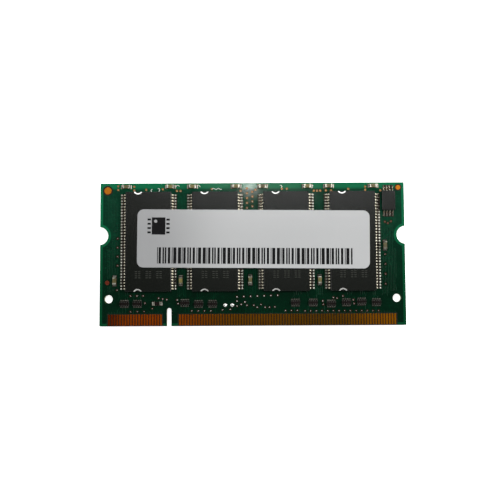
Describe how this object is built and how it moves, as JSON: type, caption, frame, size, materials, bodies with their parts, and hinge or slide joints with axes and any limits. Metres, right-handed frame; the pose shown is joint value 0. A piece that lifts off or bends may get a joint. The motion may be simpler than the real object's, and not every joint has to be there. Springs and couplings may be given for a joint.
{
  "type": "ram module",
  "caption": "Small-outline memory module: notched green board with edge contacts, moulded chips on both faces, ceramic capacitors, resistor arrays and a label.",
  "frame": {"origin": "under the middle of the board, on the plane of the rear chips' outer faces, which the module lies on", "axes": "+X along the module, +Y from the contact edge to the top edge, +Z out of the label face"},
  "size_m": [0.0676, 0.0318, 0.0034],
  "materials": {
    "laminate": "woven glass and epoxy, cut edge",
    "solder_mask": "dark green, glossy",
    "copper": "bare copper, dulled",
    "plated_copper": "thin plating over copper",
    "contact_gold": "thin gold over nickel",
    "solder": "bright, slightly grainy",
    "tin_plate": "satin tin",
    "silicon": "polished, sealed inside the body",
    "mould_compound": "fine matt epoxy, drafted sides",
    "capacitor_ceramic": "fired ceramic, brown",
    "alumina": "white fired ceramic",
    "resistor_glass": "black glass coat",
    "label_paper": "smooth printed label stock",
    "label_ink": "black print"
  },
  "bodies": {
    "root": {"alignment_marks": "copper", "array_coats_front": "resistor_glass", "array_coats_rear": "resistor_glass", "array_plates_front": "alumina", "array_plates_rear": "alumina", "array_terminals_front": "tin_plate", "array_terminals_rear": "tin_plate", "capacitor_caps_front": "tin_plate", "capacitor_caps_rear": "tin_plate", "capacitors_front": "capacitor_ceramic", "capacitors_rear": "capacitor_ceramic", "contacts_front_long_row": "contact_gold", "contacts_front_short_row": "contact_gold", "contacts_rear_long_row": "contact_gold", "contacts_rear_short_row": "contact_gold", "ground_plane": "copper", "label_paper": "label_paper", "label_print": "label_ink", "memory_chip_front_1_body": "mould_compound", "memory_chip_front_1_die": "silicon", "memory_chip_front_1_leads": "tin_plate", "memory_chip_front_2_body": "mould_compound", "memory_chip_front_2_die": "silicon", "memory_chip_front_2_leads": "tin_plate", "memory_chip_front_3_body": "mould_compound", "memory_chip_front_3_die": "silicon", "memory_chip_front_3_leads": "tin_plate", "memory_chip_front_4_body": "mould_compound", "memory_chip_front_4_die": "silicon", "memory_chip_front_4_leads": "tin_plate", "memory_chip_rear_1_body": "mould_compound", "memory_chip_rear_1_die": "silicon", "memory_chip_rear_1_leads": "tin_plate", "memory_chip_rear_2_body": "mould_compound", "memory_chip_rear_2_die": "silicon", "memory_chip_rear_2_leads": "tin_plate", "memory_chip_rear_3_body": "mould_compound", "memory_chip_rear_3_die": "silicon", "memory_chip_rear_3_leads": "tin_plate", "memory_chip_rear_4_body": "mould_compound", "memory_chip_rear_4_die": "silicon", "memory_chip_rear_4_leads": "tin_plate", "pads_front": "plated_copper", "pads_rear": "plated_copper", "pcb_core": "laminate", "power_plane": "copper", "prepreg_front": "laminate", "prepreg_rear": "laminate", "presence_chip_body": "mould_compound", "presence_chip_die": "silicon", "presence_chip_leads": "tin_plate", "resistor_coats": "resistor_glass", "resistor_plates": "alumina", "resistor_terminals": "tin_plate", "solder_joints_front": "solder", "solder_joints_rear": "solder", "solder_mask_front": "solder_mask", "solder_mask_rear": "solder_mask", "via_barrels": "plated_copper"}
  },
  "joints": []
}
